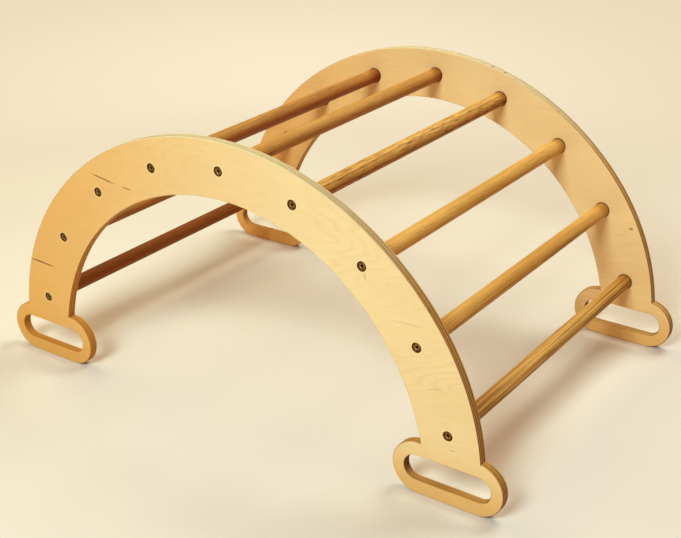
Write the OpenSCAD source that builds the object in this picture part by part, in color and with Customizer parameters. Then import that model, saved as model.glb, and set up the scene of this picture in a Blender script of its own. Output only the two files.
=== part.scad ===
// Rocker arch: two plywood sides, each a curved band on two slotted feet, joined by round rungs.
// Millimetres, +Z up. The feet stand on z = 0, the arch runs along X and the rungs lie along Y.
// The origin is on the floor, midway between the feet and midway between the two sides.

/* [Arch] */
// Overall width across both sides
arch_w = 616; // [400:1:800]
// Radius of the round opening under the band
opening_r = 353; // [330:1:400]
// Height of that opening's centre above the floor
opening_rise = 20; // [10:1:35]
// Width of the band at the top of the arch
crown_band = 89; // [80:1:100]
// Width of the band where it comes down to the feet
leg_band = 93; // [88:1:98]
// How far the flatter crown curve's centre lies below the opening's centre
crown_drop = 18; // [10:1:24]
// Thickness of the plywood
ply_t = 15; // [13:1:24]
// Radius of the eased edges of the plywood
edge_r = 2; // [0.5:0.1:3]

/* [Feet] */
// Length of a foot
foot_l = 180; // [160:1:200]
// Height of a foot
foot_h = 85; // [75:1:95]
// How far a foot's centre lies inside the middle of its leg
foot_inset = 8.5; // [2:0.5:15]
// Length of the hand slot in a foot
slot_l = 140; // [100:1:150]
// Height of the hand slot in a foot
slot_h = 41; // [30:1:50]

/* [Rungs] */
// Number of rungs
rung_count = 9; // [3:1:9]
// Diameter of a rung
rung_d = 25; // [20:1:32]
// Angle from one rung to the next along the row
rung_pitch = 19; // [12:0.5:19]
// How far the centre of the rungs' row lies below the opening's centre
rung_row_drop = 5; // [0:1:10]
// Depth of the blind socket that holds a rung's end
socket_depth = 3; // [2:0.5:4]
// Space round a rung in its socket
socket_gap = 0.4; // [0.1:0.1:0.8]
// Chamfer round a rung's ends
rung_chamfer = 1; // [0.5:0.5:2]

/* [Bolts] */
// Diameter of a bolt's shank
bolt_d = 8; // [6:1:8]
// Length of a bolt's shank
bolt_l = 30; // [25:1:50]
// Diameter of a bolt's head
head_d = 13; // [11:0.5:14]
// Height of a bolt's head
head_h = 5; // [3:0.5:6]
// Chamfer round the top of a bolt's head
head_chamfer = 0.6; // [0.2:0.1:1]
// Width of the hexagon socket across its flats
hex_w = 5; // [4:0.5:6]
// Depth of the hexagon socket
hex_depth = 2.8; // [1.5:0.1:2.8]
// How far a bolt's head lies below the face of the side
head_sink = 0.6; // [0:0.1:1.5]
// Space round a bolt's head in its counterbore
head_gap = 1; // [0.5:0.1:2]
// Space round a bolt's shank in the side and past its insert
shank_gap = 0.4; // [0.2:0.1:0.8]

/* [Inserts] */
// Outside diameter of the threaded insert in a rung's end
insert_d = 12; // [11:0.5:14]
// Length of an insert
insert_l = 20; // [12:1:24]
// How far an insert lies inside the end of its rung
insert_sink = 0.5; // [0.2:0.1:1]
// Chamfer at an insert's mouth
insert_chamfer = 0.5; // [0.2:0.1:1]
// Space between an insert and its rung, and between a bolt and its insert
thread_gap = 0.05; // [0.02:0.01:0.1]
// Empty length of the bore past a bolt's tip
tip_room = 2; // [1:0.5:5]

/* [Hidden] */
$fn = 64;
// Facets round the large curves of the band
curve_fn = 360;
// How far a cutting shape runs past the face that it cuts
cut = 1;

// The band: a crown curve, and a tighter curve down each leg. They are tangent on a line through
// both centres that runs 4 along for every 3 up, and the leg's radius is the one that reaches leg_band.
meet = [0.8, 0.6];
crown_r = opening_r + crown_band + crown_drop;
crown_z = opening_rise - crown_drop;
leg_r = opening_r + (leg_band - (crown_band + crown_drop) * meet.x) / (1 - meet.x);
leg_centre = [0, crown_z] + (crown_r - leg_r) * meet;
reach = 2 * crown_r;

// The feet
foot_x = opening_r + leg_band / 2 - foot_inset;

// The rungs' row
rung_row_r = opening_r + crown_band / 2 + rung_row_drop;
rung_row_z = opening_rise - rung_row_drop;
rung_l = arch_w - 2 * (ply_t - socket_depth);

// Bolts and inserts, measured from the outer face of a side
counterbore_depth = head_h + head_sink;
counterbore_d = head_d + 2 * head_gap;
shank_hole_d = bolt_d + 2 * shank_gap;
thread_bore_d = bolt_d + 2 * thread_gap;
bolt_tip = counterbore_depth + bolt_l - (ply_t - socket_depth);
tip_bore_depth = max(bolt_tip, insert_sink + insert_l) + tip_room;

sides = ["front", "back"];

function rung_angle(i) = (i - (rung_count + 1) / 2) * rung_pitch;
function rung_x(i) = rung_row_r * sin(rung_angle(i));
function rung_z(i) = rung_row_z + rung_row_r * cos(rung_angle(i));
// Where a rung meets a side, along that side's own length: the back one lies the other way round.
function seat_x(side, i) = side == "back" ? -rung_x(i) : rung_x(i);

// Half of the section through a sheet with eased edges, from a centre line out to r.
module eased_section(r) {
    square([r - edge_r, ply_t]);
    translate([0, edge_r]) square([r, ply_t - 2 * edge_r]);
    for (z = [edge_r, ply_t - edge_r]) translate([r - edge_r, z]) circle(edge_r);
}

// Half of the section through a hole in that sheet, flared to the same eased edges.
module flared_section(r) {
    difference() {
        translate([0, -cut]) square([r + edge_r, ply_t + 2 * cut]);
        translate([r, edge_r]) square([2 * edge_r, ply_t - 2 * edge_r]);
        for (z = [edge_r, ply_t - edge_r]) translate([r + edge_r, z]) circle(edge_r);
    }
}

module eased_disc(r) {
    rotate_extrude($fn = curve_fn) eased_section(r);
}

// The part of an eased disc that lies between the first and last of some directions from its centre.
module sector(centre, r, directions) {
    translate(centre) intersection() {
        eased_disc(r);
        translate([0, 0, -cut]) linear_extrude(ply_t + 2 * cut)
            polygon([[0, 0], for (d = directions) reach * d]);
    }
}

module flared_hole(r) {
    rotate_extrude($fn = curve_fn) flared_section(r);
}

// Lays a half section along X, on both sides of the X axis.
module along_x(length) {
    for (turn = [90, -90])
        rotate([0, 0, turn]) rotate([90, 0, 0])
            translate([0, 0, -length / 2]) linear_extrude(length) children();
}

// A foot's outline: straight top and bottom with round ends.
module eased_stadium(length, height) {
    straight = length - height;
    for (side = [-1, 1]) translate([side * straight / 2, 0, 0]) eased_disc(height / 2);
    along_x(straight) eased_section(height / 2);
}

module flared_slot(length, height) {
    straight = length - height;
    for (side = [-1, 1]) translate([side * straight / 2, 0, 0]) flared_hole(height / 2);
    along_x(straight) flared_section(height / 2);
}

// The band stands on the feet, so it ends halfway up them.
module band() {
    difference() {
        union() {
            sector([0, crown_z], crown_r, [[-meet.x, meet.y], meet]);
            for (side = [0, 1]) mirror([side, 0, 0])
                sector(leg_centre, leg_r, [meet, [1, 0], [1, -1], [0, -1]]);
        }
        translate([0, opening_rise, 0]) flared_hole(opening_r);
        translate([-reach, foot_h / 2 - 2 * reach, -cut]) cube([2 * reach, 2 * reach, ply_t + 2 * cut]);
    }
}

// One side lying flat, inner face at z = 0: sockets open there, counterbores open at the outer face.
module flat_side() {
    difference() {
        union() {
            band();
            for (side = [-1, 1]) translate([side * foot_x, foot_h / 2, 0]) eased_stadium(foot_l, foot_h);
        }
        for (side = [-1, 1]) translate([side * foot_x, foot_h / 2, 0]) flared_slot(slot_l, slot_h);
        for (i = [1:rung_count]) translate([rung_x(i), rung_z(i), 0]) {
            translate([0, 0, -cut]) cylinder(h = ply_t + 2 * cut, d = shank_hole_d);
            translate([0, 0, -cut]) cylinder(h = socket_depth + cut, d = rung_d + 2 * socket_gap);
            translate([0, 0, ply_t - counterbore_depth])
                cylinder(h = counterbore_depth + cut, d = counterbore_d);
        }
    }
}

// Stands what lies flat as part of the front side, outer face to the front. The back side is the same
// piece turned about.
module stand(side) {
    rotate([0, 0, side == "back" ? 180 : 0])
        translate([0, ply_t - arch_w / 2, 0]) rotate([90, 0, 0]) children();
}

module side_panel(side) {
    color("burlywood") stand(side) flat_side();
}

module rung(i) {
    color("peru") translate([rung_x(i), 0, rung_z(i)]) rotate([90, 0, 0]) difference() {
        union() {
            cylinder(h = rung_l - 2 * rung_chamfer, d = rung_d, center = true);
            for (turn = [0, 180]) rotate([turn, 0, 0]) translate([0, 0, rung_l / 2 - rung_chamfer])
                cylinder(h = rung_chamfer, d1 = rung_d, d2 = rung_d - 2 * rung_chamfer);
        }
        for (turn = [0, 180]) rotate([turn, 0, 0]) translate([0, 0, rung_l / 2]) {
            translate([0, 0, -insert_sink - insert_l])
                cylinder(h = insert_sink + insert_l + cut, d = insert_d + 2 * thread_gap);
            translate([0, 0, -tip_bore_depth]) cylinder(h = tip_bore_depth + cut, d = shank_hole_d);
        }
    }
}

// A bolt's head rests on the floor of its counterbore.
module bolt(side, i) {
    color("dimgray") stand(side) translate([seat_x(side, i), rung_z(i), ply_t - counterbore_depth]) {
        translate([0, 0, -bolt_l]) cylinder(h = bolt_l, d = bolt_d);
        difference() {
            union() {
                cylinder(h = head_h - head_chamfer, d = head_d);
                translate([0, 0, head_h - head_chamfer])
                    cylinder(h = head_chamfer, d1 = head_d, d2 = head_d - 2 * head_chamfer);
            }
            translate([0, 0, head_h - hex_depth]) cylinder(h = hex_depth + cut, d = hex_w / cos(30), $fn = 6);
        }
    }
}

// An insert's inner end rests on the shoulder of its bore in the rung.
module insert(side, i) {
    color("darkkhaki") stand(side)
        translate([seat_x(side, i), rung_z(i), socket_depth - insert_sink - insert_l]) difference() {
            cylinder(h = insert_l, d = insert_d);
            translate([0, 0, -cut]) cylinder(h = insert_l + 2 * cut, d = thread_bore_d);
            translate([0, 0, insert_l - insert_chamfer])
                cylinder(h = insert_chamfer, d1 = thread_bore_d, d2 = thread_bore_d + 2 * insert_chamfer);
        }
}

for (s = sides) side_panel(s);
for (i = [1:rung_count]) rung(i);
for (s = sides, i = [1:rung_count]) bolt(s, i);
for (s = sides, i = [1:rung_count]) insert(s, i);
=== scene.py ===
"""A wooden rocker arch: two curved plywood sides on slotted feet, nine rungs, and the bolts that hold them.

Metres, in the part's own frame: +Z up, the feet on z = 0, the arch along X and the rungs along Y.
"""
import math

import bpy
import mathutils
import numpy as np
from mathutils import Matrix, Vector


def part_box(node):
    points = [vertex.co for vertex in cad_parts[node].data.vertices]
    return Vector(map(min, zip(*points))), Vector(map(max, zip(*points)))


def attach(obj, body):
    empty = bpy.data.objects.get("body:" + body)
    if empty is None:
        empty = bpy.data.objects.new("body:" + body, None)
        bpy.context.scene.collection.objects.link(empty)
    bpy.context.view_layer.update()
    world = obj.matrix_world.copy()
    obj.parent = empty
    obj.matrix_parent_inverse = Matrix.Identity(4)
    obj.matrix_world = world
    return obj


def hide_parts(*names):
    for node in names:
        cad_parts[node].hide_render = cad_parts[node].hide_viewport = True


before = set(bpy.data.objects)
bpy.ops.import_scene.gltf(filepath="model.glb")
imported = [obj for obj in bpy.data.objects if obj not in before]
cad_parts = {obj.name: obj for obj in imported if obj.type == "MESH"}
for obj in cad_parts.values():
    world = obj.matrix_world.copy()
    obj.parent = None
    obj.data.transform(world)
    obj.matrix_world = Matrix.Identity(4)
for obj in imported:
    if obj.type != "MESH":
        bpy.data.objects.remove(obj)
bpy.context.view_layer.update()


# ---- The view --------------------------------------------------------------------------------------
# A camera stands in front of the arch and to its right, about a metre up, and looks down on it
# through a short telephoto lens. Its picture is 681 by 538, a little off the lens's own axis.
picture_w, picture_h = 681, 538
focal_length, axis_x, axis_y = 1250.02, 367.86, 280.22
sensor_w = 36
eye = mathutils.Vector((1.11376, -1.58215, 1.03760))
heading, tilt, roll = math.radians(33.881), math.radians(25.232), math.radians(0.100)

level = mathutils.Vector((math.cos(heading), math.sin(heading), 0))
ahead = mathutils.Vector((-math.sin(heading) * math.cos(tilt),
                          math.cos(heading) * math.cos(tilt),
                          -math.sin(tilt)))
across = level * math.cos(roll) + level.cross(ahead) * math.sin(roll)
lens = bpy.data.cameras.new("view")
lens.sensor_width = sensor_w
lens.lens = focal_length * sensor_w / picture_w
lens.shift_x = (picture_w / 2 - axis_x) / picture_w
lens.shift_y = (axis_y - picture_h / 2) / picture_w
camera = bpy.data.objects.new("view", lens)
turn = mathutils.Matrix((across, across.cross(ahead), -ahead)).transposed()
camera.matrix_world = mathutils.Matrix.Translation(eye) @ turn.to_4x4()
bpy.context.scene.collection.objects.link(camera)
bpy.context.scene.camera = camera
bpy.context.scene.view_settings.view_transform = "Standard"


# ---- The studio floor and the room -----------------------------------------------------------------
# Matt cream paper lies flat under the arch and runs far past the view on every side. It isn't part of
# the object. Far out it fades into the cream of the room, which hides where the two meet, and a painted
# pool of light makes it brightest behind the arch at the left.
floor_reach, floor_rings, floor_spokes = 40.0, 28, 96
fade_start, fade_end = 0.85, 1.55
glow_x, glow_y, glow_wide = -1.10, 1.30, 1.6
cream, cream_far, cream_glow = (236, 223, 196), (236, 220, 188), (251, 235, 204)
cloud_scale, cloud_shade = (2.5, 2.5, 2.5), 0.985


def paint(red, green, blue):
    """A colour as a shader wants it, from the values that a screen shows: each is c / 12.92 below a
    small limit and ((c + 0.055) / 1.055) ** 2.4 above it."""
    shown = np.array([red, green, blue]) / 255
    return (*np.where(shown < 0.04045, shown / 12.92, ((shown + 0.055) / 1.055) ** 2.4), 1)


class Value:
    """A number, vector, colour or shader that a finish works out. Arithmetic on numbers adds Math nodes."""

    def __init__(self, finish, socket):
        self.finish = finish
        self.socket = socket

    def reckon(self, operation, first, second=0.0):
        return self.finish.node("ShaderNodeMath", {"operation": operation}, {0: first, 1: second})

    def __add__(self, other):
        return self.reckon("ADD", self, other)

    __radd__ = __add__

    def __sub__(self, other):
        return self.reckon("SUBTRACT", self, other)

    def __rsub__(self, other):
        return self.reckon("SUBTRACT", other, self)

    def __mul__(self, other):
        return self.reckon("MULTIPLY", self, other)

    __rmul__ = __mul__

    def __pow__(self, power):
        return self.reckon("POWER", self, power)

    def __abs__(self):
        return self.reckon("ABSOLUTE", self)

    def __or__(self, other):
        return self.reckon("MAXIMUM", self, other)

    def whole(self):
        return self.reckon("FLOOR", self)

    def rest(self):
        return self.reckon("FRACT", self)

    def lean_from(self, up):
        """The angle of (up, self) from straight up."""
        return self.reckon("ARCTAN2", self, up)

    def rise(self, low, high):
        """0 below low, 1 above high, and a smooth step between them."""
        return self.finish.node("ShaderNodeMapRange", {"interpolation_type": "SMOOTHSTEP"},
                                {"Value": self, "From Min": low, "From Max": high})


class Finish:
    """A material or world being made. node adds any node: its settings first, then its sockets'
    values or links."""

    def __init__(self, name, kind=bpy.data.materials):
        self.owner = kind.new(name)
        self.owner.use_nodes = True
        self.tree = self.owner.node_tree
        self.tree.nodes.clear()

    def node(self, kind, settings=None, inputs=None, output=0):
        made = self.tree.nodes.new(kind)
        for name, setting in (settings or {}).items():
            setattr(made, name, setting)
        for name, value in (inputs or {}).items():
            if isinstance(value, Value):
                self.tree.links.new(value.socket, made.inputs[name])
            else:
                made.inputs[name].default_value = value
        return Value(self, made.outputs[output]) if made.outputs else None

    def place(self):
        """Where a point lies in the part's own frame, as a vector."""
        return self.node("ShaderNodeTexCoord", output="Object")

    def attribute(self, name):
        """What a mesh holds under a name, as a vector."""
        return self.node("ShaderNodeAttribute", {"attribute_name": name}, output="Vector")

    def parts(self, vector):
        """The x, y and z of a vector."""
        first = self.node("ShaderNodeSeparateXYZ", None, {"Vector": vector})
        return [Value(self, socket) for socket in first.socket.node.outputs]

    def noise(self, place, scale, detail=2.0, offset=(0, 0, 0)):
        """Cloudy noise about 0.5, stretched by a scale for each of x, y and z."""
        stretched = self.node("ShaderNodeMapping", None,
                              {"Vector": place, "Scale": scale, "Location": offset})
        return self.node("ShaderNodeTexNoise", None, {"Vector": stretched, "Scale": 1, "Detail": detail})

    def lot(self, number):
        """A value from 0 to 1 that each whole number draws for itself."""
        return self.node("ShaderNodeTexWhiteNoise", {"noise_dimensions": "1D"}, {"W": number})

    def blend(self, amount, low, high):
        """The colour low where amount is 0 and high where it is 1."""
        return self.node("ShaderNodeMix", {"data_type": "RGBA"}, {0: amount, 6: low, 7: high}, 2)

    def mix(self, amount, low, high):
        """The shader low where amount is 0 and high where it is 1."""
        return self.node("ShaderNodeMixShader", None, {0: amount, 1: low, 2: high})

    def relief(self, height, strength, deep=0.0002):
        """A bumpy surface, which a height of 1 raises by deep."""
        return self.node("ShaderNodeBump", None,
                         {"Strength": strength, "Distance": deep, "Height": height})

    def surface(self, colour, roughness, **constants):
        """The common shader. Constants are set on its own sockets."""
        inputs = {"Base Color": colour, "Roughness": roughness}
        inputs.update({name.replace("_", " "): value for name, value in constants.items()})
        return self.node("ShaderNodeBsdfPrincipled", None, inputs)

    def show(self, shader, end="ShaderNodeOutputMaterial"):
        self.node(end, None, {"Surface": shader})


def unlit(finish):
    """1 for a ray from the camera or a reflection, which sees the room, and 0 for one that lights it."""
    camera_ray, glossy_ray, passing_ray = (finish.node("ShaderNodeLightPath", output="Is %s Ray" % name)
                                           for name in ("Camera", "Glossy", "Transmission"))
    return camera_ray | glossy_ray | passing_ray


paper = Finish("cream_paper")
paper_place = paper.place()
paper_x, paper_y = paper.parts(paper_place)[:2]
paper_cloud = paper.noise(paper_place, cloud_scale, 3).rise(0.3, 0.7)
paper_tone = paper.blend(paper_cloud, paint(*cream), paint(*[cloud_shade * c for c in cream]))
paper_near = paper.surface(paper_tone, 0.9, Specular_IOR_Level=0.2)
from_glow = ((paper_x - glow_x) * (paper_x - glow_x) + (paper_y - glow_y) * (paper_y - glow_y)) ** 0.5
far_tone = paper.blend(from_glow.rise(0, glow_wide), paint(*cream_glow), paint(*cream_far))
paper_far = paper.surface(paint(0, 0, 0), 1.0, Specular_IOR_Level=0, Emission_Color=far_tone,
                          Emission_Strength=1)
far_off = ((paper_x * paper_x + paper_y * paper_y) ** 0.5).rise(fade_start, fade_end)
paper.show(paper.mix(far_off * unlit(paper), paper_near, paper_far))

# The floor is a disc: rings at floor_reach * t ** 3, each a circle of spokes.
ring = floor_reach * np.linspace(0, 1, floor_rings + 1)[1:, None] ** 3
spoke = np.linspace(0, 2 * np.pi, floor_spokes, endpoint=False)
disc = np.stack(np.broadcast_arrays(ring * np.cos(spoke), ring * np.sin(spoke), 0.0), 2)
ring_at, spoke_at = np.mgrid[:floor_rings - 1, :floor_spokes]
beside = (spoke_at + 1) % floor_spokes
near_ring, far_ring = ring_at * floor_spokes, (ring_at + 1) * floor_spokes
disc_quads = np.stack([near_ring + spoke_at, far_ring + spoke_at, far_ring + beside, near_ring + beside], 2)
disc_faces = [list(range(floor_spokes))] + disc_quads.reshape(-1, 4).tolist()
floor_mesh = bpy.data.meshes.new("floor")
floor_mesh.from_pydata(disc.reshape(-1, 3).tolist(), [], disc_faces)
floor_mesh.materials.append(paper.owner)
floor = bpy.data.objects.new("floor", floor_mesh)
bpy.context.scene.collection.objects.link(floor)

# The room lights the arch dimly and warmly from all round. Seen directly or in a bolt, it is plain cream.
room_level, room_tint = 0.16, (255, 84, 60)
room = Finish("room", bpy.data.worlds)
dim = room.node("ShaderNodeBackground", None, {"Color": paint(*room_tint), "Strength": room_level})
bright = room.node("ShaderNodeBackground", None, {"Color": paint(*cream_far)})
room.show(room.mix(unlit(room), dim, bright), "ShaderNodeOutputWorld")
bpy.context.scene.world = room.owner

# Three soft boxes: where each stands, how wide it is, its power and its tint.
lamps = {"front_box": ((0.38, -2.98, 2.55), 1.30, 127.0, (213, 241, 255)),
         "back_box": ((0.61, 1.27, 2.53), 1.35, 46.5, (238, 252, 255)),
         "left_box": ((-1.48, 0.22, 2.00), 1.30, 21.0, (252, 254, 215))}
aimed_at = mathutils.Vector((0, 0, 0.15))
for lamp_name, (stand_at, lamp_size, lamp_power, lamp_tint) in lamps.items():
    lamp = bpy.data.lights.new(lamp_name, "AREA")
    lamp.shape = "SQUARE"
    lamp.size = lamp_size
    lamp.energy = lamp_power
    lamp.color = paint(*lamp_tint)[:3]
    holder = bpy.data.objects.new(lamp_name, lamp)
    holder.location = stand_at
    holder.rotation_euler = (aimed_at - holder.location).to_track_quat("-Z", "Y").to_euler()
    bpy.context.scene.collection.objects.link(holder)


# ---- The two plywood sides -------------------------------------------------------------------------
# Each side is one sheet of birch plywood, nine plies thick, routed to an arch on two feet with a
# hand slot in each. Its edges are eased and oiled. Nine bolts go through it into the rungs.
side_low, side_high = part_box("front_side_panel")
outer_face, inner_face = -side_low.y, -side_high.y
ply_t = side_high.y - side_low.y
ply_count = 9
eased_r, eased_steps = 0.002, 6
glue_line, glue_groove = 0.00012, 0.00005
foot_long, foot_high = 0.180, 0.085
slot_long, slot_high = 0.140, 0.041
foot_x = side_high.x - foot_long / 2
opening_r, opening_z = 0.353, 0.020
crown_r, leg_r = 0.460, 0.390
crown_z = side_high.z - crown_r
crown_end = math.atan2(0.6, 0.8)  # crown and leg meet on a line that climbs 3 for every 4 along
long_step, round_step = 0.005, math.radians(3)
rung_count = 9
row_r, row_z, row_pitch = 0.4025, 0.015, math.radians(19)
bore_r, bore_depth, shank_hole_r = 0.0075, 0.0056, 0.0044
socket_r, socket_depth = 0.0129, 0.003
bore_chamfer, socket_chamfer = 0.0003, 0.0006
bore_steps = 48
weld_within, same_point = 1e-7, 1e-9
rung_boxes = [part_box("rung_%d" % i) for i in range(1, rung_count + 1)]
rung_places = [((low.x + high.x) / 2, (low.z + high.z) / 2) for low, high in rung_boxes]


def arc(centre, radius, start, stop, faces=1):
    """Part of a circle, as points and the way that they face. The point at angle a is
    centre + radius * (cos a, sin a), and it faces that way, or the other way where faces is -1."""
    step = min(round_step, long_step / radius)
    angle = np.linspace(start, stop, max(2, round(abs(stop - start) / step) + 1))
    away = np.stack([np.cos(angle), np.sin(angle)], 1)
    return np.array(centre) + radius * away, faces * away


def straight(start, stop, facing):
    """The two ends of a straight stretch that faces one way."""
    return np.array([start, stop], float), np.array([facing, facing], float)


def joined(pieces):
    """A closed path of pieces laid end to end: its points, the way each faces, and the way in which
    it is offset. At a corner between the directions a and b, that is the mitre (a + b) / (1 + a . b).
    The first point is repeated at the end."""
    points = np.concatenate([piece[0] for piece in pieces])
    facing = np.concatenate([piece[1] for piece in pieces])
    offset = facing.copy()
    firsts = np.cumsum([len(piece[0]) for piece in pieces]) % len(points)
    for first in firsts:
        a, b = facing[first - 1], facing[first]
        offset[[first - 1, first]] = (a + b) / (1 + a @ b)
    return [np.concatenate([line, line[:1]]) for line in (points, facing, offset)]


def stadium(centre, length, height, faces=1):
    """A closed outline of two half circles joined by straight stretches. Facing -1 looks inward."""
    x, z = centre
    half, r = (length - height) / 2, height / 2
    return joined([arc((x + half, z), r, -np.pi / 2, np.pi / 2, faces),
                   straight((x + half, z + r), (x - half, z + r), (0, faces)),
                   arc((x - half, z), r, np.pi / 2, 3 * np.pi / 2, faces),
                   straight((x - half, z - r), (x + half, z - r), (0, -faces))])


def side_outline():
    """The outline of a side: up the right leg, over the crown, down the left leg and round its foot,
    back over the opening, and round the right foot. A leg's arc is tangent to the crown's."""
    leg = np.array([0, crown_z]) + (crown_r - leg_r) * np.array([math.cos(crown_end), math.sin(crown_end)])
    half, r = (foot_long - foot_high) / 2, foot_high / 2
    heel = np.array([foot_x + half, r])
    # Where the leg's circle crosses the heel's: along the line between centres, and up from it.
    span = np.linalg.norm(heel - leg)
    along = (span ** 2 + leg_r ** 2 - r ** 2) / (2 * span)
    line = (heel - leg) / span
    notch = leg + along * line + math.sqrt(leg_r ** 2 - along ** 2) * np.array([-line[1], line[0]])
    leg_end = math.atan2(*(notch - leg)[::-1])
    heel_end = math.atan2(*(notch - heel)[::-1])
    opening_end = math.asin((foot_high - opening_z) / opening_r)
    inside = opening_r * math.cos(opening_end)
    return joined([
        arc(leg, leg_r, leg_end, crown_end),
        arc((0, crown_z), crown_r, crown_end, np.pi - crown_end),
        arc((-leg[0], leg[1]), leg_r, np.pi - crown_end, np.pi - leg_end),
        arc((-foot_x - half, r), r, np.pi - heel_end, 3 * np.pi / 2),
        straight((-foot_x - half, 0), (-foot_x + half, 0), (0, -1)),
        arc((-foot_x + half, r), r, -np.pi / 2, np.pi / 2),
        straight((-foot_x + half, foot_high), (-inside, foot_high), (0, 1)),
        arc((0, opening_z), opening_r, np.pi - opening_end, opening_end, -1),
        straight((inside, foot_high), (foot_x - half, foot_high), (0, 1)),
        arc((foot_x - half, r), r, np.pi / 2, 3 * np.pi / 2),
        straight((foot_x - half, 0), (foot_x + half, 0), (0, -1)),
        arc((foot_x + half, r), r, -np.pi / 2, heel_end)])


def circle(centre, steps):
    """A closed path of one point and the directions round it, to be offset to any radius."""
    angle = np.linspace(0, 2 * np.pi, steps + 1)
    away = np.stack([np.cos(angle), np.sin(angle)], 1)
    return np.broadcast_to(centre, away.shape), away, away


def turned(corners):
    """The section of something round, from corners (radius, depth): each straight stretch keeps its
    own direction (-change of depth, change of radius), so that its ends stay crisp."""
    corners = np.array(corners, float)
    change = np.diff(corners, axis=0)
    facing = np.stack([-change[:, 1], change[:, 0]], 1) / np.linalg.norm(change, axis=1)[:, None]
    ends = np.stack([corners[:-1], corners[1:]], 1).reshape(-1, 2)
    facing = np.repeat(facing, 2, axis=0)
    return -ends[:, 0], ends[:, 1], facing[:, 0], facing[:, 1]


def eased_edge():
    """The section of the sheet's edge: a quarter circle, then flat with a hairline groove at each
    glue line, and a quarter circle. It gives inset, depth and the two parts of the direction."""
    q = np.linspace(0, np.pi / 2, eased_steps + 1)
    glue = ply_t / ply_count * np.arange(1, ply_count)
    glue = glue[(glue > eased_r + glue_line) & (glue < ply_t - eased_r - glue_line)]
    flat_depth = (glue[:, None] + glue_line * np.array([-1, 0, 1])).ravel()
    flat_inset = np.tile(glue_groove * np.array([0, 1, 0]), len(glue))
    slope = np.gradient(flat_inset, flat_depth)
    flat_out = 1 / np.hypot(1, slope)
    inset = np.concatenate([eased_r * (1 - np.sin(q)), flat_inset, eased_r * (1 - np.sin(q[::-1]))])
    depth = np.concatenate([eased_r * (1 - np.cos(q)), flat_depth, ply_t - eased_r * (1 - np.cos(q[::-1]))])
    out = np.concatenate([np.sin(q), flat_out, np.sin(q[::-1])])
    deep = np.concatenate([-np.cos(q), slope * flat_out, np.cos(q[::-1])])
    return inset, depth, out, deep


def swept(path, section, drilled=0):
    """A section carried along a path. A point lies at path - inset * offset and at the section's
    depth, and faces path facing * out + depth * deep. Its grain is the distance along the path, how
    far it faces along X, squared, and how far it faces away from the depth, squared, or 2 if drilled."""
    points, facing, offset = path
    inset, depth, out, deep = (line[:, None] for line in section)
    xz = points - inset[..., None] * offset
    co = np.stack([xz[..., 0], np.broadcast_to(depth, xz.shape[:2]), xz[..., 1]], 2)
    look = np.stack([out * facing[:, 0], np.broadcast_to(deep, xz.shape[:2]), out * facing[:, 1]], 2)
    run = np.concatenate([[0], np.cumsum(np.linalg.norm(np.diff(xz[-1], axis=0), axis=1))])
    edge = out ** 2 * (1 - drilled) + 2 * drilled
    grain = np.stack(np.broadcast_arrays(run, facing[:, 0] ** 2, edge), 2)
    rows, columns = np.mgrid[:len(inset) - 1, :len(points) - 1]
    corner = rows * len(points) + columns
    quads = np.stack([corner, corner + 1, corner + len(points) + 1, corner + len(points)], 2)
    return [co.reshape(-1, 3), look.reshape(-1, 3), grain.reshape(-1, 3), quads.reshape(-1, 4)]


def sheet(rings, depth, faces):
    """A flat face between closed rings of (x, z) points, the outer one first, at one depth. Each of
    its triangles is given as a quad whose last corner is doubled."""
    rings = [ring[np.abs(np.diff(ring, axis=0, append=ring[:1])).max(1) > same_point] for ring in rings]
    loops = [[mathutils.Vector((x, z, 0)) for x, z in ring.tolist()] for ring in rings]
    threes = np.array(mathutils.geometry.tessellate_polygon(loops))
    xz = np.concatenate(rings)
    co = np.stack([xz[:, 0], np.full(len(xz), depth), xz[:, 1]], 1)
    look = np.tile([0.0, faces, 0.0], (len(xz), 1))
    return [co, look, np.zeros_like(co), threes[:, [0, 1, 2, 2]]]


def solid(name, surfaces, material):
    """One closed mesh of surfaces whose edges meet. Points that coincide are welded, each face is
    turned to look the way its points face, and each corner keeps its own surface's direction and grain."""
    firsts = np.cumsum([0] + [len(surface[0]) for surface in surfaces])
    co, look, grain = (np.concatenate([surface[k] for surface in surfaces]) for k in range(3))
    quads = np.concatenate([surface[3] + first for surface, first in zip(surfaces, firsts)])
    p = co[quads]
    wrong = (np.cross(p[:, 2] - p[:, 0], p[:, 3] - p[:, 1]) * look[quads].sum(1)).sum(1) < 0
    quads[wrong] = quads[wrong][:, ::-1]
    snapped = np.round(co / weld_within).astype(np.int64)
    _, kept, joint = np.unique(snapped, axis=0, return_index=True, return_inverse=True)
    joint = joint.ravel()
    apart = joint[quads] != joint[np.roll(quads, 1, axis=1)]
    quads, apart = quads[apart.sum(1) > 2], apart[apart.sum(1) > 2]
    corners = quads[apart]
    faces = np.split(joint[corners], np.cumsum(apart.sum(1))[:-1])
    mesh = bpy.data.meshes.new(name)
    mesh.from_pydata(co[kept].tolist(), [], [face.tolist() for face in faces])
    corner_grain = mesh.attributes.new("grain", "FLOAT_VECTOR", "CORNER")
    corner_grain.data.foreach_set("vector", grain[corners].ravel())
    mesh.shade_smooth()
    mesh.normals_split_custom_set((look / np.linalg.norm(look, axis=1)[:, None])[corners].tolist())
    mesh.materials.append(material)
    piece = bpy.data.objects.new(name, mesh)
    bpy.context.scene.collection.objects.link(piece)
    return piece


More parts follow.
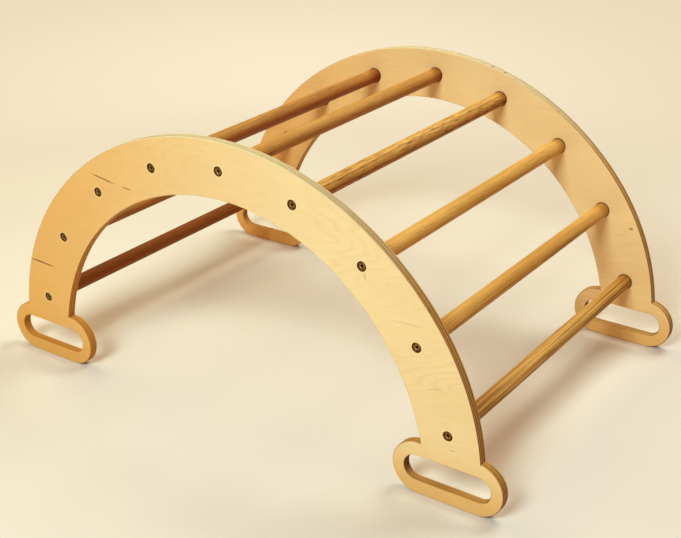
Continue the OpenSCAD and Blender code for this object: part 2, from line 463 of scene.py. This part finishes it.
def side_surfaces():
    """A side with its outer face at depth 0: the outline's edge, the two slots' edges, nine ways for
    the bolts, and the two flat faces between them."""
    eased = eased_edge()
    outline = swept(side_outline(), eased)
    slots = [swept(stadium((s * foot_x, foot_high / 2), slot_long, slot_high, -1), eased) for s in (-1, 1)]
    way = turned([(bore_r + bore_chamfer, 0), (bore_r, bore_chamfer), (bore_r, bore_depth),
                  (shank_hole_r, bore_depth), (shank_hole_r, ply_t - socket_depth),
                  (socket_r, ply_t - socket_depth), (socket_r, ply_t - socket_chamfer),
                  (socket_r + socket_chamfer, ply_t)])
    ways = [swept(circle(place, bore_steps), way, drilled=1) for place in rung_places]
    edges = [outline, *slots, *ways]
    outer = [edge[0][np.isclose(edge[0][:, 1], 0)][:, [0, 2]] for edge in edges]
    inner = [edge[0][np.isclose(edge[0][:, 1], ply_t)][:, [0, 2]] for edge in edges]
    return edges + [sheet(outer, 0.0, -1), sheet(inner, ply_t, 1)]


# The face veneer was peeled from the log, so its growth lines show as long wandering contours. Its tone
# wanders at random, and it is painted warmer towards the left end and amber on the far side's left leg,
# as painted shade, and painted darker low on the feet and up the legs, as painted shade.
veneer_pale, veneer_warm, veneer_line = (253, 221, 156), (241, 178, 89), (211, 150, 80)
veneer_low, veneer_amber = (227, 167, 78), (240, 142, 30)
growth_lines, growth_wander = 32, 1.4
left_shade_along, back_shade_along = (-0.52, 0.22), (-0.45, -0.22)
low_shade_up, leg_shade_up = (0.010, 0.095), (0.05, 0.36)
birch = Finish("birch_plywood")
at = birch.place()
at_x, at_y, at_z = birch.parts(at)
run, along_x, on_edge = birch.parts(birch.attribute("grain"))
on_back = at_y.rise(-0.1, 0.1)
edge_shows = on_edge.rise(0.05, 0.40)
growth = birch.noise(at, (1.5, 200, 6.5), 3) * growth_lines
growth = (growth + birch.noise(at, (7, 90, 30), 2) * growth_wander).rest()
growth_line = growth.rise(0.45, 0.90) * (1 - growth.rise(0.90, 1.0))
growth_fade = birch.noise(at, (3, 60, 9), 2, (4, 2, 8)).rise(0.35, 0.68)
fibres = birch.noise(at, (24, 300, 950), 3)
pores = birch.noise(at, (120, 300, 2300), 2, (3, 0, 1)).rise(0.63, 0.76)
cloud = birch.noise(at, (5, 60, 11), 3, (1, 5, 2)).rise(0.3, 0.7)
fine_grain = fibres.rise(0.35, 0.65) * 0.07 + pores * 0.11 + cloud * 0.09
# Painted shade: the veneer is painted warmer and darker towards the left end, a little less on the far
# side.
left_end_shade = (1 - at_x.rise(*left_shade_along)) * (0.85 - 0.25 * on_back)
warmth = birch.noise(at, (1.6, 60, 2.4), 2, (7, 3, 1)).rise(0.3, 0.75) * 0.25 + left_end_shade
# Painted shade: the feet and legs are painted darker towards the floor.
low_shade = (1 - at_z.rise(*low_shade_up)) * 0.58 + (1 - at_z.rise(*leg_shade_up)) * 0.16
# Painted shade: the far side is painted amber, most at its left leg.
back_left_shade = on_back * (0.28 - 0.22 * at_x.rise(*back_shade_along))
veneer = birch.blend(warmth, paint(*veneer_pale), paint(*veneer_warm))
veneer = birch.blend(low_shade, veneer, paint(*veneer_low))
veneer = birch.blend(back_left_shade, veneer, paint(*veneer_amber))
veneer = birch.blend(growth_line * (0.03 + 0.09 * growth_fade), veneer, paint(*veneer_line))
veneer = birch.blend(fine_grain, veneer, paint(*veneer_line))

# The wood keeps its small flaws: dark mineral streaks, pin knots, a gap in a ply.
flaw_brown, flaw_deep = (116, 70, 20), 0.004
flaws = [  # middle (x, y, z), half length, half width, lean, how dark
    ((-0.2370, -0.308, 0.3576), 0.0320, 0.0011, -0.14, 0.85),
    ((-0.2290, -0.308, 0.3552), 0.0210, 0.0008, -0.20, 0.50),
    ((-0.1850, -0.308, 0.3514), 0.0130, 0.0012, -0.10, 0.70),
    ((-0.3955, -0.308, 0.1747), 0.0310, 0.0016, -0.05, 1.0),
    ((0.3990, -0.308, 0.0917), 0.0070, 0.0009, 0.07, 0.60),
    ((0.2530, -0.308, 0.3190), 0.0080, 0.0020, -1.30, 0.25),
    ((0.3250, -0.308, 0.2660), 0.0330, 0.0012, 0.05, 0.22),
    ((0.3680, -0.308, 0.1790), 0.0170, 0.0012, 0.30, 0.22),
    ((0.3575, -0.306, 0.2955), 0.0080, 0.0040, -0.88, 0.75),
    ((0.3930, 0.293, 0.2117), 0.0045, 0.0032, 0.10, 0.60),
    ((0.1110, 0.299, 0.4470), 0.0040, 0.0030, -0.25, 0.75),
    ((0.1350, 0.299, 0.4420), 0.0030, 0.0030, -0.30, 0.75)]
ragged = (birch.noise(at, (130, 300, 900), 2, (2, 2, 2)) - 0.5) * 1.8
flaw = 0.0
for (x, y, z), half_long, half_wide, lean, dark in flaws:
    # 1 inside an ellipsoid: the squares of the distances along, across and in depth, over its half sizes.
    along = ((at_x - x) * math.cos(lean) + (at_z - z) * math.sin(lean)) * (1 / half_long)
    aside = ((at_z - z) * math.cos(lean) - (at_x - x) * math.sin(lean)) * (1 / half_wide)
    beneath = (at_y - y) * (1 / flaw_deep)
    near = along * along + aside * aside + beneath * beneath + ragged
    flaw = (1 - near.rise(0.25, 1.0)) * dark + flaw

# On the edges, plies along X and across it take turns: each is pale where it was cut along its
# fibres, and brown where the cut shows their ends. Thin dark glue lies between them.
edge_pale, edge_brown, edge_warm = (244, 188, 94), (164, 95, 18), (232, 139, 26)
lit_top_pale, lit_top_brown = (251, 236, 180), (206, 180, 108)
glue_and_shade_brown, drilled_shade_brown = (88, 44, 8), (74, 37, 6)
glue_share, back_lots = 0.14, 37
lit_top_up, low_up, warm_up = (0.26, 0.43), (0.002, 0.030), (0.15, 0.40)
depth_in = (abs(at_y) - inner_face) * (ply_count / ply_t)
ply_at = depth_in.rest()
ply_number = depth_in.whole()
crosswise = (ply_number * 0.5).rest() * 2
end_grain = along_x + crosswise - 2 * along_x * crosswise
ply_tone = birch.lot(ply_number + on_back * back_lots)
glue = 1 - ply_at.rise(0.0, glue_share) * (1 - ply_at.rise(1 - glue_share, 1.0))
edge_place = birch.node("ShaderNodeCombineXYZ", None, {"X": run, "Y": at_y, "Z": along_x})
streaks = birch.noise(edge_place, (40, 3000, 3), 3).rise(0.38, 0.68)
specks = birch.noise(edge_place, (1300, 2600, 3), 2).rise(0.5, 0.75)
ply_dark = (end_grain * 0.75 + (ply_tone - 0.5) * 0.80 + 0.05).rise(0.0, 1.0)
edge_tone = birch.blend(ply_dark, paint(*edge_pale), paint(*edge_brown))
# The top of the arch is painted paler, as a painted highlight where light falls on it, and the corners
# are painted darker, most on the ends that face along X and near the floor, as painted shade.
lit_top = birch.blend(ply_dark, paint(*lit_top_pale), paint(*lit_top_brown))
edge_tone = birch.blend(at_z.rise(*lit_top_up) * (1 - along_x) * 0.90, edge_tone, lit_top)
low_edge_shade = 1 - at_z.rise(*low_up)
# Painted shade: the corners of the edges are darkened, most where they face along X and near the floor.
arris_shade = on_edge.rise(0.05, 0.30) * (1 - on_edge.rise(0.90, 1.0)) * (0.12 + along_x * 0.40 + low_edge_shade * 0.40)
# The ends of the slots are painted darker: router burn, and painted shade inside the slots.
slot_end_out, slot_end_up = (slot_long / 2 + 0.003, slot_long / 2 + 0.008), (0.065, 0.080)
burn_and_shade = (1 - abs(abs(at_x) - foot_x).rise(*slot_end_out)) * along_x.rise(0.3, 1.0)
burn_and_shade = burn_and_shade * on_edge.rise(0.5, 1.0) * (1 - at_z.rise(*slot_end_up)) * (0.45 - 0.30 * left_end_shade)
edge_dark = streaks * 0.16 + specks * end_grain * 0.22 + glue * 0.42 + arris_shade + burn_and_shade
edge_tone = birch.blend(edge_dark, edge_tone, paint(*glue_and_shade_brown))
# Painted shade: the low edges at the left end, a little less on the far side, are painted a warmer orange.
edge_tone = birch.blend(left_end_shade * (1 - at_z.rise(*warm_up)) * 0.42, edge_tone, paint(*edge_warm))
# Painted shade: the walls of the counterbores, bolt holes and sockets are painted dark brown.
edge_tone = birch.blend((on_edge - 1).rise(0.1, 0.9) * 0.8, edge_tone, paint(*drilled_shade_brown))
birch_tone = birch.blend(edge_shows, veneer, edge_tone)
birch_tone = birch.blend(flaw, birch_tone, paint(*flaw_brown))

# A narrow ring round each rung on the inner faces is painted darker, as oil and painted shade at the
# joint. The rungs lie evenly on one circle, so the nearest is as far off as the rest of the angle,
# unrolled, and the height over it.
joint_ring_out, joint_ring_in = (0.0132, 0.0145), (inner_face + 0.001, inner_face + 0.007)
over_row = (at_x * at_x + (at_z - row_z) * (at_z - row_z)) ** 0.5 - row_r
round_row = (at_x.lean_from(at_z - row_z) * (1 / row_pitch) + 0.5).rest() - 0.5
from_hole = (over_row * over_row + round_row * round_row * (row_r * row_pitch) ** 2) ** 0.5
oil_and_shade_ring = (1 - from_hole.rise(*joint_ring_out)) * (1 - abs(at_y).rise(*joint_ring_in))
birch_tone = birch.blend(oil_and_shade_ring * 0.60, birch_tone, paint(*glue_and_shade_brown))
# A pale ring is painted on the face round each counterbore, as a painted highlight.
bore_highlight_pale = (255, 230, 152)
bore_highlight_out, bore_highlight_in = (0.0082, 0.0112), (outer_face - 0.001, outer_face - 0.0002)
bore_highlight_ring = (1 - from_hole.rise(*bore_highlight_out)) * abs(at_y).rise(*bore_highlight_in) * (1 - edge_shows)
birch_tone = birch.blend(bore_highlight_ring * 0.40, birch_tone, paint(*bore_highlight_pale))
birch_height = fibres * 0.5 - pores * 0.6 - flaw + on_edge * (streaks * 0.4 - glue * 0.8)
birch_rough = 0.50 + fibres * 0.10 + on_edge * 0.14
birch_bumps = birch.relief(birch_height, 0.35)
birch.show(birch.surface(birch_tone, birch_rough, Normal=birch_bumps, Specular_IOR_Level=0.16))

for side_name, node_name, outer_y, inward in (("front_plywood_side", "front_side_panel", -outer_face, 1),
                                              ("back_plywood_side", "back_side_panel", outer_face, -1)):
    surfaces = side_surfaces()
    for surface in surfaces:
        surface[0] = surface[0] * [1, inward, 1] + [0, outer_y, 0]
        surface[1] = surface[1] * [1, inward, 1]
    side = solid(side_name, surfaces, birch.owner)
    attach(side, "root")
    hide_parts(node_name)


# ---- The nine rungs --------------------------------------------------------------------------------
# Round hardwood rods, oiled a deeper brown than the sides. Each has a chamfered bore at both ends for
# its threaded insert, and its ends sit in the sides' sockets.
rung_steps = 72
rung_chamfer = 0.001
insert_low, insert_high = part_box("front_insert_1")
insert_gap = 0.00005
insert_bore_r = (insert_high.x - insert_low.x) / 2 + insert_gap
insert_bore_l, tip_bore_l = 0.0205, 0.0256
rung_reach = rung_boxes[0][1].y


def rung_section(reach, radius):
    """From the middle of one end's bore, out over the rod and into the other end's."""
    one_end = [(0, reach - tip_bore_l), (shank_hole_r, reach - tip_bore_l),
               (shank_hole_r, reach - insert_bore_l), (insert_bore_r, reach - insert_bore_l),
               (insert_bore_r, reach), (radius - rung_chamfer, reach), (radius, reach - rung_chamfer)]
    return turned(one_end + [(r, -y) for r, y in one_end[::-1]])


# Each rod shows the tree's year rings, some darker than others, and fibres and pores along it. It is
# painted darker towards the sides, as oil and painted shade from the sides, and a dark line is painted
# where it goes into a socket, as painted shade at the joint.
rod_pale, rod_deep, rod_dark, rod_shade_brown = (244, 186, 90), (210, 144, 52), (95, 42, 4), (138, 54, 0)
year_wide, year_wander = 0.0028, 2.6
end_shade_by, line_by = (rung_reach - 0.036, rung_reach), (inner_face - 0.0022, inner_face - 0.0002)
rod = Finish("rung_hardwood")
rod_at = rod.attribute("grain")
rod_x, _, rod_z = rod.parts(rod_at)
rod_shaded, rod_bold, rod_striped = rod.parts(rod.attribute("look"))
from_middle = abs(rod.parts(rod.place())[1])
wander = rod.noise(rod_at, (9, 2.2, 9), 2) - 0.5
year = (rod_x * rod_x + rod_z * rod_z) ** 0.5 * (1 / year_wide) + wander * year_wander
year_at = year.rest()
year_tone = rod.lot(year.whole())
rod_late = year_at.rise(0.2, 0.9) * (1 - year_at.rise(0.9, 1.0))
rod_fibres = rod.noise(rod_at, (1100, 16, 1100), 3)
rod_dashes = rod.noise(rod_at, (850, 42, 850), 2, (1, 2, 3)).rise(0.50, 0.64)
rod_stripes = rod.noise(rod_at, (620, 4.5, 620), 2, (3, 1, 2)).rise(0.46, 0.60)
rod_pores = rod_dashes + rod_striped * (rod_stripes - rod_dashes)
rod_cloud = rod.noise(rod_at, (30, 3, 30), 2, (4, 1, 2)).rise(0.3, 0.7)
rod_grain = rod_fibres.rise(0.35, 0.7) * 0.20 + rod_pores * (0.15 + 0.55 * rod_bold)
rod_tone = rod.blend(rod_cloud * 0.6 + year_tone * 0.3, paint(*rod_pale), paint(*rod_deep))
# Painted shade: darker on the undersides and towards the sides.
rod_tone = rod.blend(rod_shaded + from_middle.rise(*end_shade_by) * 0.30, rod_tone, paint(*rod_shade_brown))
rod_tone = rod.blend(rod_late * (0.10 + year_tone * 0.55 * rod_bold), rod_tone, paint(*rod_dark))
rod_tone = rod.blend(rod_grain, rod_tone, paint(*rod_dark))
# Painted shade: a dark line where the rod goes into a socket.
rod_tone = rod.blend(from_middle.rise(*line_by) * 0.5, rod_tone, paint(*rod_dark))
rod_bumps = rod.relief(rod_fibres * 0.5 - rod_pores - rod_late * 0.4, 0.5)
rod.show(rod.surface(rod_tone, 0.48 + rod_fibres * 0.15, Normal=rod_bumps, Specular_IOR_Level=0.10))

# From the left end: how dark each rung is painted on its upper side and on its lower one, as painted
# shade and the wood's own tone, how bold the grain is on each, and how far it runs in long stripes
# rather than dashes.
rung_looks = [(0.82, 0.84, 0.6, 0.4, 0.5), (0.24, 0.74, 0.3, 0.5, 0.3), (0.52, 0.90, 0.3, 0.3, 0.5),
              (0.38, 0.90, 0.4, 0.2, 0.3), (0.26, 0.58, 0.1, 0.3, 0.2), (0.0, 0.50, 0.8, 1.0, 0.0),
              (0.0, 0.0, 0.1, 0.3, 0.3), (0.0, 0.05, 0.0, 0.9, 0.8), (0.0, 0.0, 0.7, 0.9, 1.0)]
pith_away, pith_aside, rod_apart = 0.055, 0.01, 3
shade_from = 0.9
chance = np.random.default_rng(25)
for i, ((low, high), place) in enumerate(zip(rung_boxes, rung_places), 1):
    rung_r = (high.x - low.x) / 2
    surface = swept(circle(place, rung_steps), rung_section(high.y, rung_r))
    # The rod was cut at its own turn and distance from the tree's pith, in its own stretch of wood.
    about = chance.uniform(0, 2 * np.pi)
    pith_x = pith_away * chance.uniform(0.6, 1.6)
    pith_z = pith_aside * chance.uniform(-1, 1)
    x, y, z = (surface[0] - [place[0], 0, place[1]]).T
    surface[2] = np.stack([x * np.cos(about) + z * np.sin(about) + pith_x, y + rod_apart * i,
                           z * np.cos(about) - x * np.sin(about) + pith_z], 1)
    rung = solid("rung_rod_%d" % i, [surface], rod.owner)
    # The painted shade deepens from where the rod faces up to where it faces level, as a smooth step.
    corner_at = np.empty(len(rung.data.vertices) * 3, np.float32)
    rung.data.vertices.foreach_get("co", corner_at)
    up = (corner_at[2::3] - place[1]) / rung_r
    down = np.clip(shade_from - up, 0, 1)
    down = down ** 2 * (3 - 2 * down)
    upper_shade, lower_shade, upper_bold, lower_bold, striped = rung_looks[i - 1]
    shade_depth = upper_shade + (lower_shade - upper_shade) * down
    bold = upper_bold + (lower_bold - upper_bold) * down
    look = np.stack(np.broadcast_arrays(shade_depth, bold, striped), 1).ravel()
    rung.data.attributes.new("look", "FLOAT_VECTOR", "POINT").data.foreach_set("vector", look)
    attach(rung, "root")
    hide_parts("rung_%d" % i)


# ---- The bolts and their inserts -------------------------------------------------------------------
# Steel socket-head bolts, plated a dark bronze. Each head sits in its counterbore, turned as it was
# left by the key, and its thread runs into the plated insert in the rung's end.
head_r, head_high, head_round, head_steps = 0.0065, 0.005, 0.001, 5
shank_r, shank_long, tip_chamfer = 0.004, 0.030, 0.0005
thread_pitch, thread_deep, thread_steps = 0.00125, 0.00065, 4
thread_from, thread_short = 0.002, 0.001
hex_flat_r, hex_mouth_r, hex_chamfer = 0.0025, 0.0031, 0.0003
hex_deep, drill_point = 0.0028, 0.0004
bolt_steps, crisp_angle = 36, math.radians(35)
glint_ring, shade_ring_from = 2, 3 + head_steps
bronze_pale, bronze_dark = (156, 108, 50), (62, 34, 10)
bronze_bright, bronze_black = (232, 208, 146), (34, 16, 4)

bronze = Finish("bolt_bronze")
bronze_at = bronze.place()
bronze_cloud = bronze.noise(bronze_at, (260, 260, 260), 3).rise(0.35, 0.7)
bronze_turning = bronze.noise(bronze_at, (900, 4000, 900), 2)
bronze_glint, bronze_shade = bronze.parts(bronze.attribute("glint_and_shade"))[:2]
bronze_tone = bronze.blend(bronze_cloud, paint(*bronze_pale), paint(*bronze_dark))
# Painted glint at the mouth of the key hole.
bronze_tone = bronze.blend(bronze_glint * 0.85, bronze_tone, paint(*bronze_bright))
# Painted shade in the key hole and under the head's edge.
bronze_tone = bronze.blend(bronze_shade * 0.9, bronze_tone, paint(*bronze_black))
bronze.show(bronze.surface(bronze_tone, 0.24 + bronze_turning * 0.16, Metallic=1.0))


def bolt_rings(key_turn):
    """A bolt as rings, from the bottom of its key hole over the head and down the shank. Each ring has
    a radius and a depth at every angle. The key hole's radius is its flat's / cos(angle from the
    middle of that flat), and the thread's is lower by thread_deep wherever its helix, depth / pitch +
    angle / a full turn, is halfway between crests."""
    angle = np.linspace(0, 2 * np.pi, bolt_steps, endpoint=False)
    even = np.ones_like(angle)
    hexagon = hex_flat_r / np.cos(angle % (np.pi / 3) - np.pi / 6)
    curve = np.linspace(0, np.pi / 2, head_steps)
    rings = [(0 * even, hex_deep + drill_point), (hexagon, hex_deep)]
    rings += [(hexagon, hex_chamfer), (hex_mouth_r * even, 0)]
    rings += [((head_r - head_round * (1 - np.sin(q))) * even, head_round * (1 - np.cos(q))) for q in curve]
    rings += [(head_r * even, head_high), (shank_r * even, head_high)]
    for down in np.arange(thread_from, shank_long - thread_short, thread_pitch / thread_steps):
        helix = (down / thread_pitch + angle / (2 * np.pi)) % 1
        rings.append((shank_r - thread_deep * (1 - np.abs(2 * helix - 1)), head_high + down))
    tip = head_high + shank_long
    rings += [((shank_r - thread_deep) * even, tip - tip_chamfer)]
    rings += [((shank_r - 2 * thread_deep) * even, tip), (0 * even, tip)]
    radius = np.array([ring[0] for ring in rings])
    depth = np.array([ring[1] for ring in rings])
    return angle + key_turn, radius, np.broadcast_to(depth[:, None], radius.shape)


for side_name, inward in (("front", 1), ("back", -1)):
    for i, place in enumerate(rung_places, 1):
        bolt_low, bolt_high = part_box("%s_bolt_%d" % (side_name, i))
        top = bolt_low.y if inward > 0 else bolt_high.y
        angle, radius, depth = bolt_rings(chance.uniform(0, np.pi / 3))
        x, z = place[0] + radius * np.cos(angle), place[1] + radius * np.sin(angle)
        co = np.stack([x, top + inward * depth, z], 2)
        # The first and last rings are one point each. Quads join the others.
        inner = co[1:-1].reshape(-1, 3)
        rows, columns = np.mgrid[:len(co) - 3, :bolt_steps]
        beside = (columns + 1) % bolt_steps
        upper, lower = rows * bolt_steps, (rows + 1) * bolt_steps
        quads = np.stack([upper + columns, upper + beside, lower + beside, lower + columns], 2)
        around = np.arange(bolt_steps)
        after = np.roll(around, -1)
        first, last = len(inner), len(inner) + 1
        last_ring = len(inner) - bolt_steps
        key_floor = np.stack([after, around, np.full(bolt_steps, first)], 1)
        tip_end = np.stack([last_ring + around, last_ring + after, np.full(bolt_steps, last)], 1)
        faces = quads.reshape(-1, 4).tolist() + key_floor.tolist() + tip_end.tolist()
        if inward > 0:
            faces = [face[::-1] for face in faces]
        mesh = bpy.data.meshes.new("%s_socket_bolt_%d" % (side_name, i))
        mesh.from_pydata(np.concatenate([inner, co[:1, 0], co[-1:, 0]]).tolist(), [], faces)
        mesh.shade_smooth()
        mesh.set_sharp_from_angle(angle=crisp_angle)
        # The mouth of the key hole is painted bright, as a painted glint, and the hole and all under the
        # head's edge are painted dark, as painted shade.
        ring_number = np.append(np.repeat(np.arange(1, len(co) - 1), bolt_steps), [0, 0])
        glint_and_shade = np.zeros((len(ring_number), 3))
        glint_and_shade[:, 0] = ring_number == glint_ring
        glint_and_shade[:, 1] = (ring_number < glint_ring) | (ring_number >= shade_ring_from)
        mesh.attributes.new("glint_and_shade", "FLOAT_VECTOR", "POINT").data.foreach_set("vector", glint_and_shade.ravel())
        mesh.materials.append(bronze.owner)
        bolt = bpy.data.objects.new(mesh.name, mesh)
        bpy.context.scene.collection.objects.link(bolt)
        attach(bolt, "root")
        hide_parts("%s_bolt_%d" % (side_name, i))

# The inserts keep the shape of their solids, and are plated with zinc that has dulled a little.
zinc_bright, zinc_dull = (206, 186, 128), (150, 132, 86)
zinc = Finish("insert_zinc")
zinc_cloud = zinc.noise(zinc.place(), (300, 300, 300), 3)
zinc_tone = zinc.blend(zinc_cloud.rise(0.35, 0.7), paint(*zinc_bright), paint(*zinc_dull))
zinc.show(zinc.surface(zinc_tone, 0.35 + zinc_cloud * 0.15, Metallic=1.0))
for node_name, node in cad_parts.items():
    if "_insert_" in node_name:
        node.data.materials.clear()
        node.data.materials.append(zinc.owner)
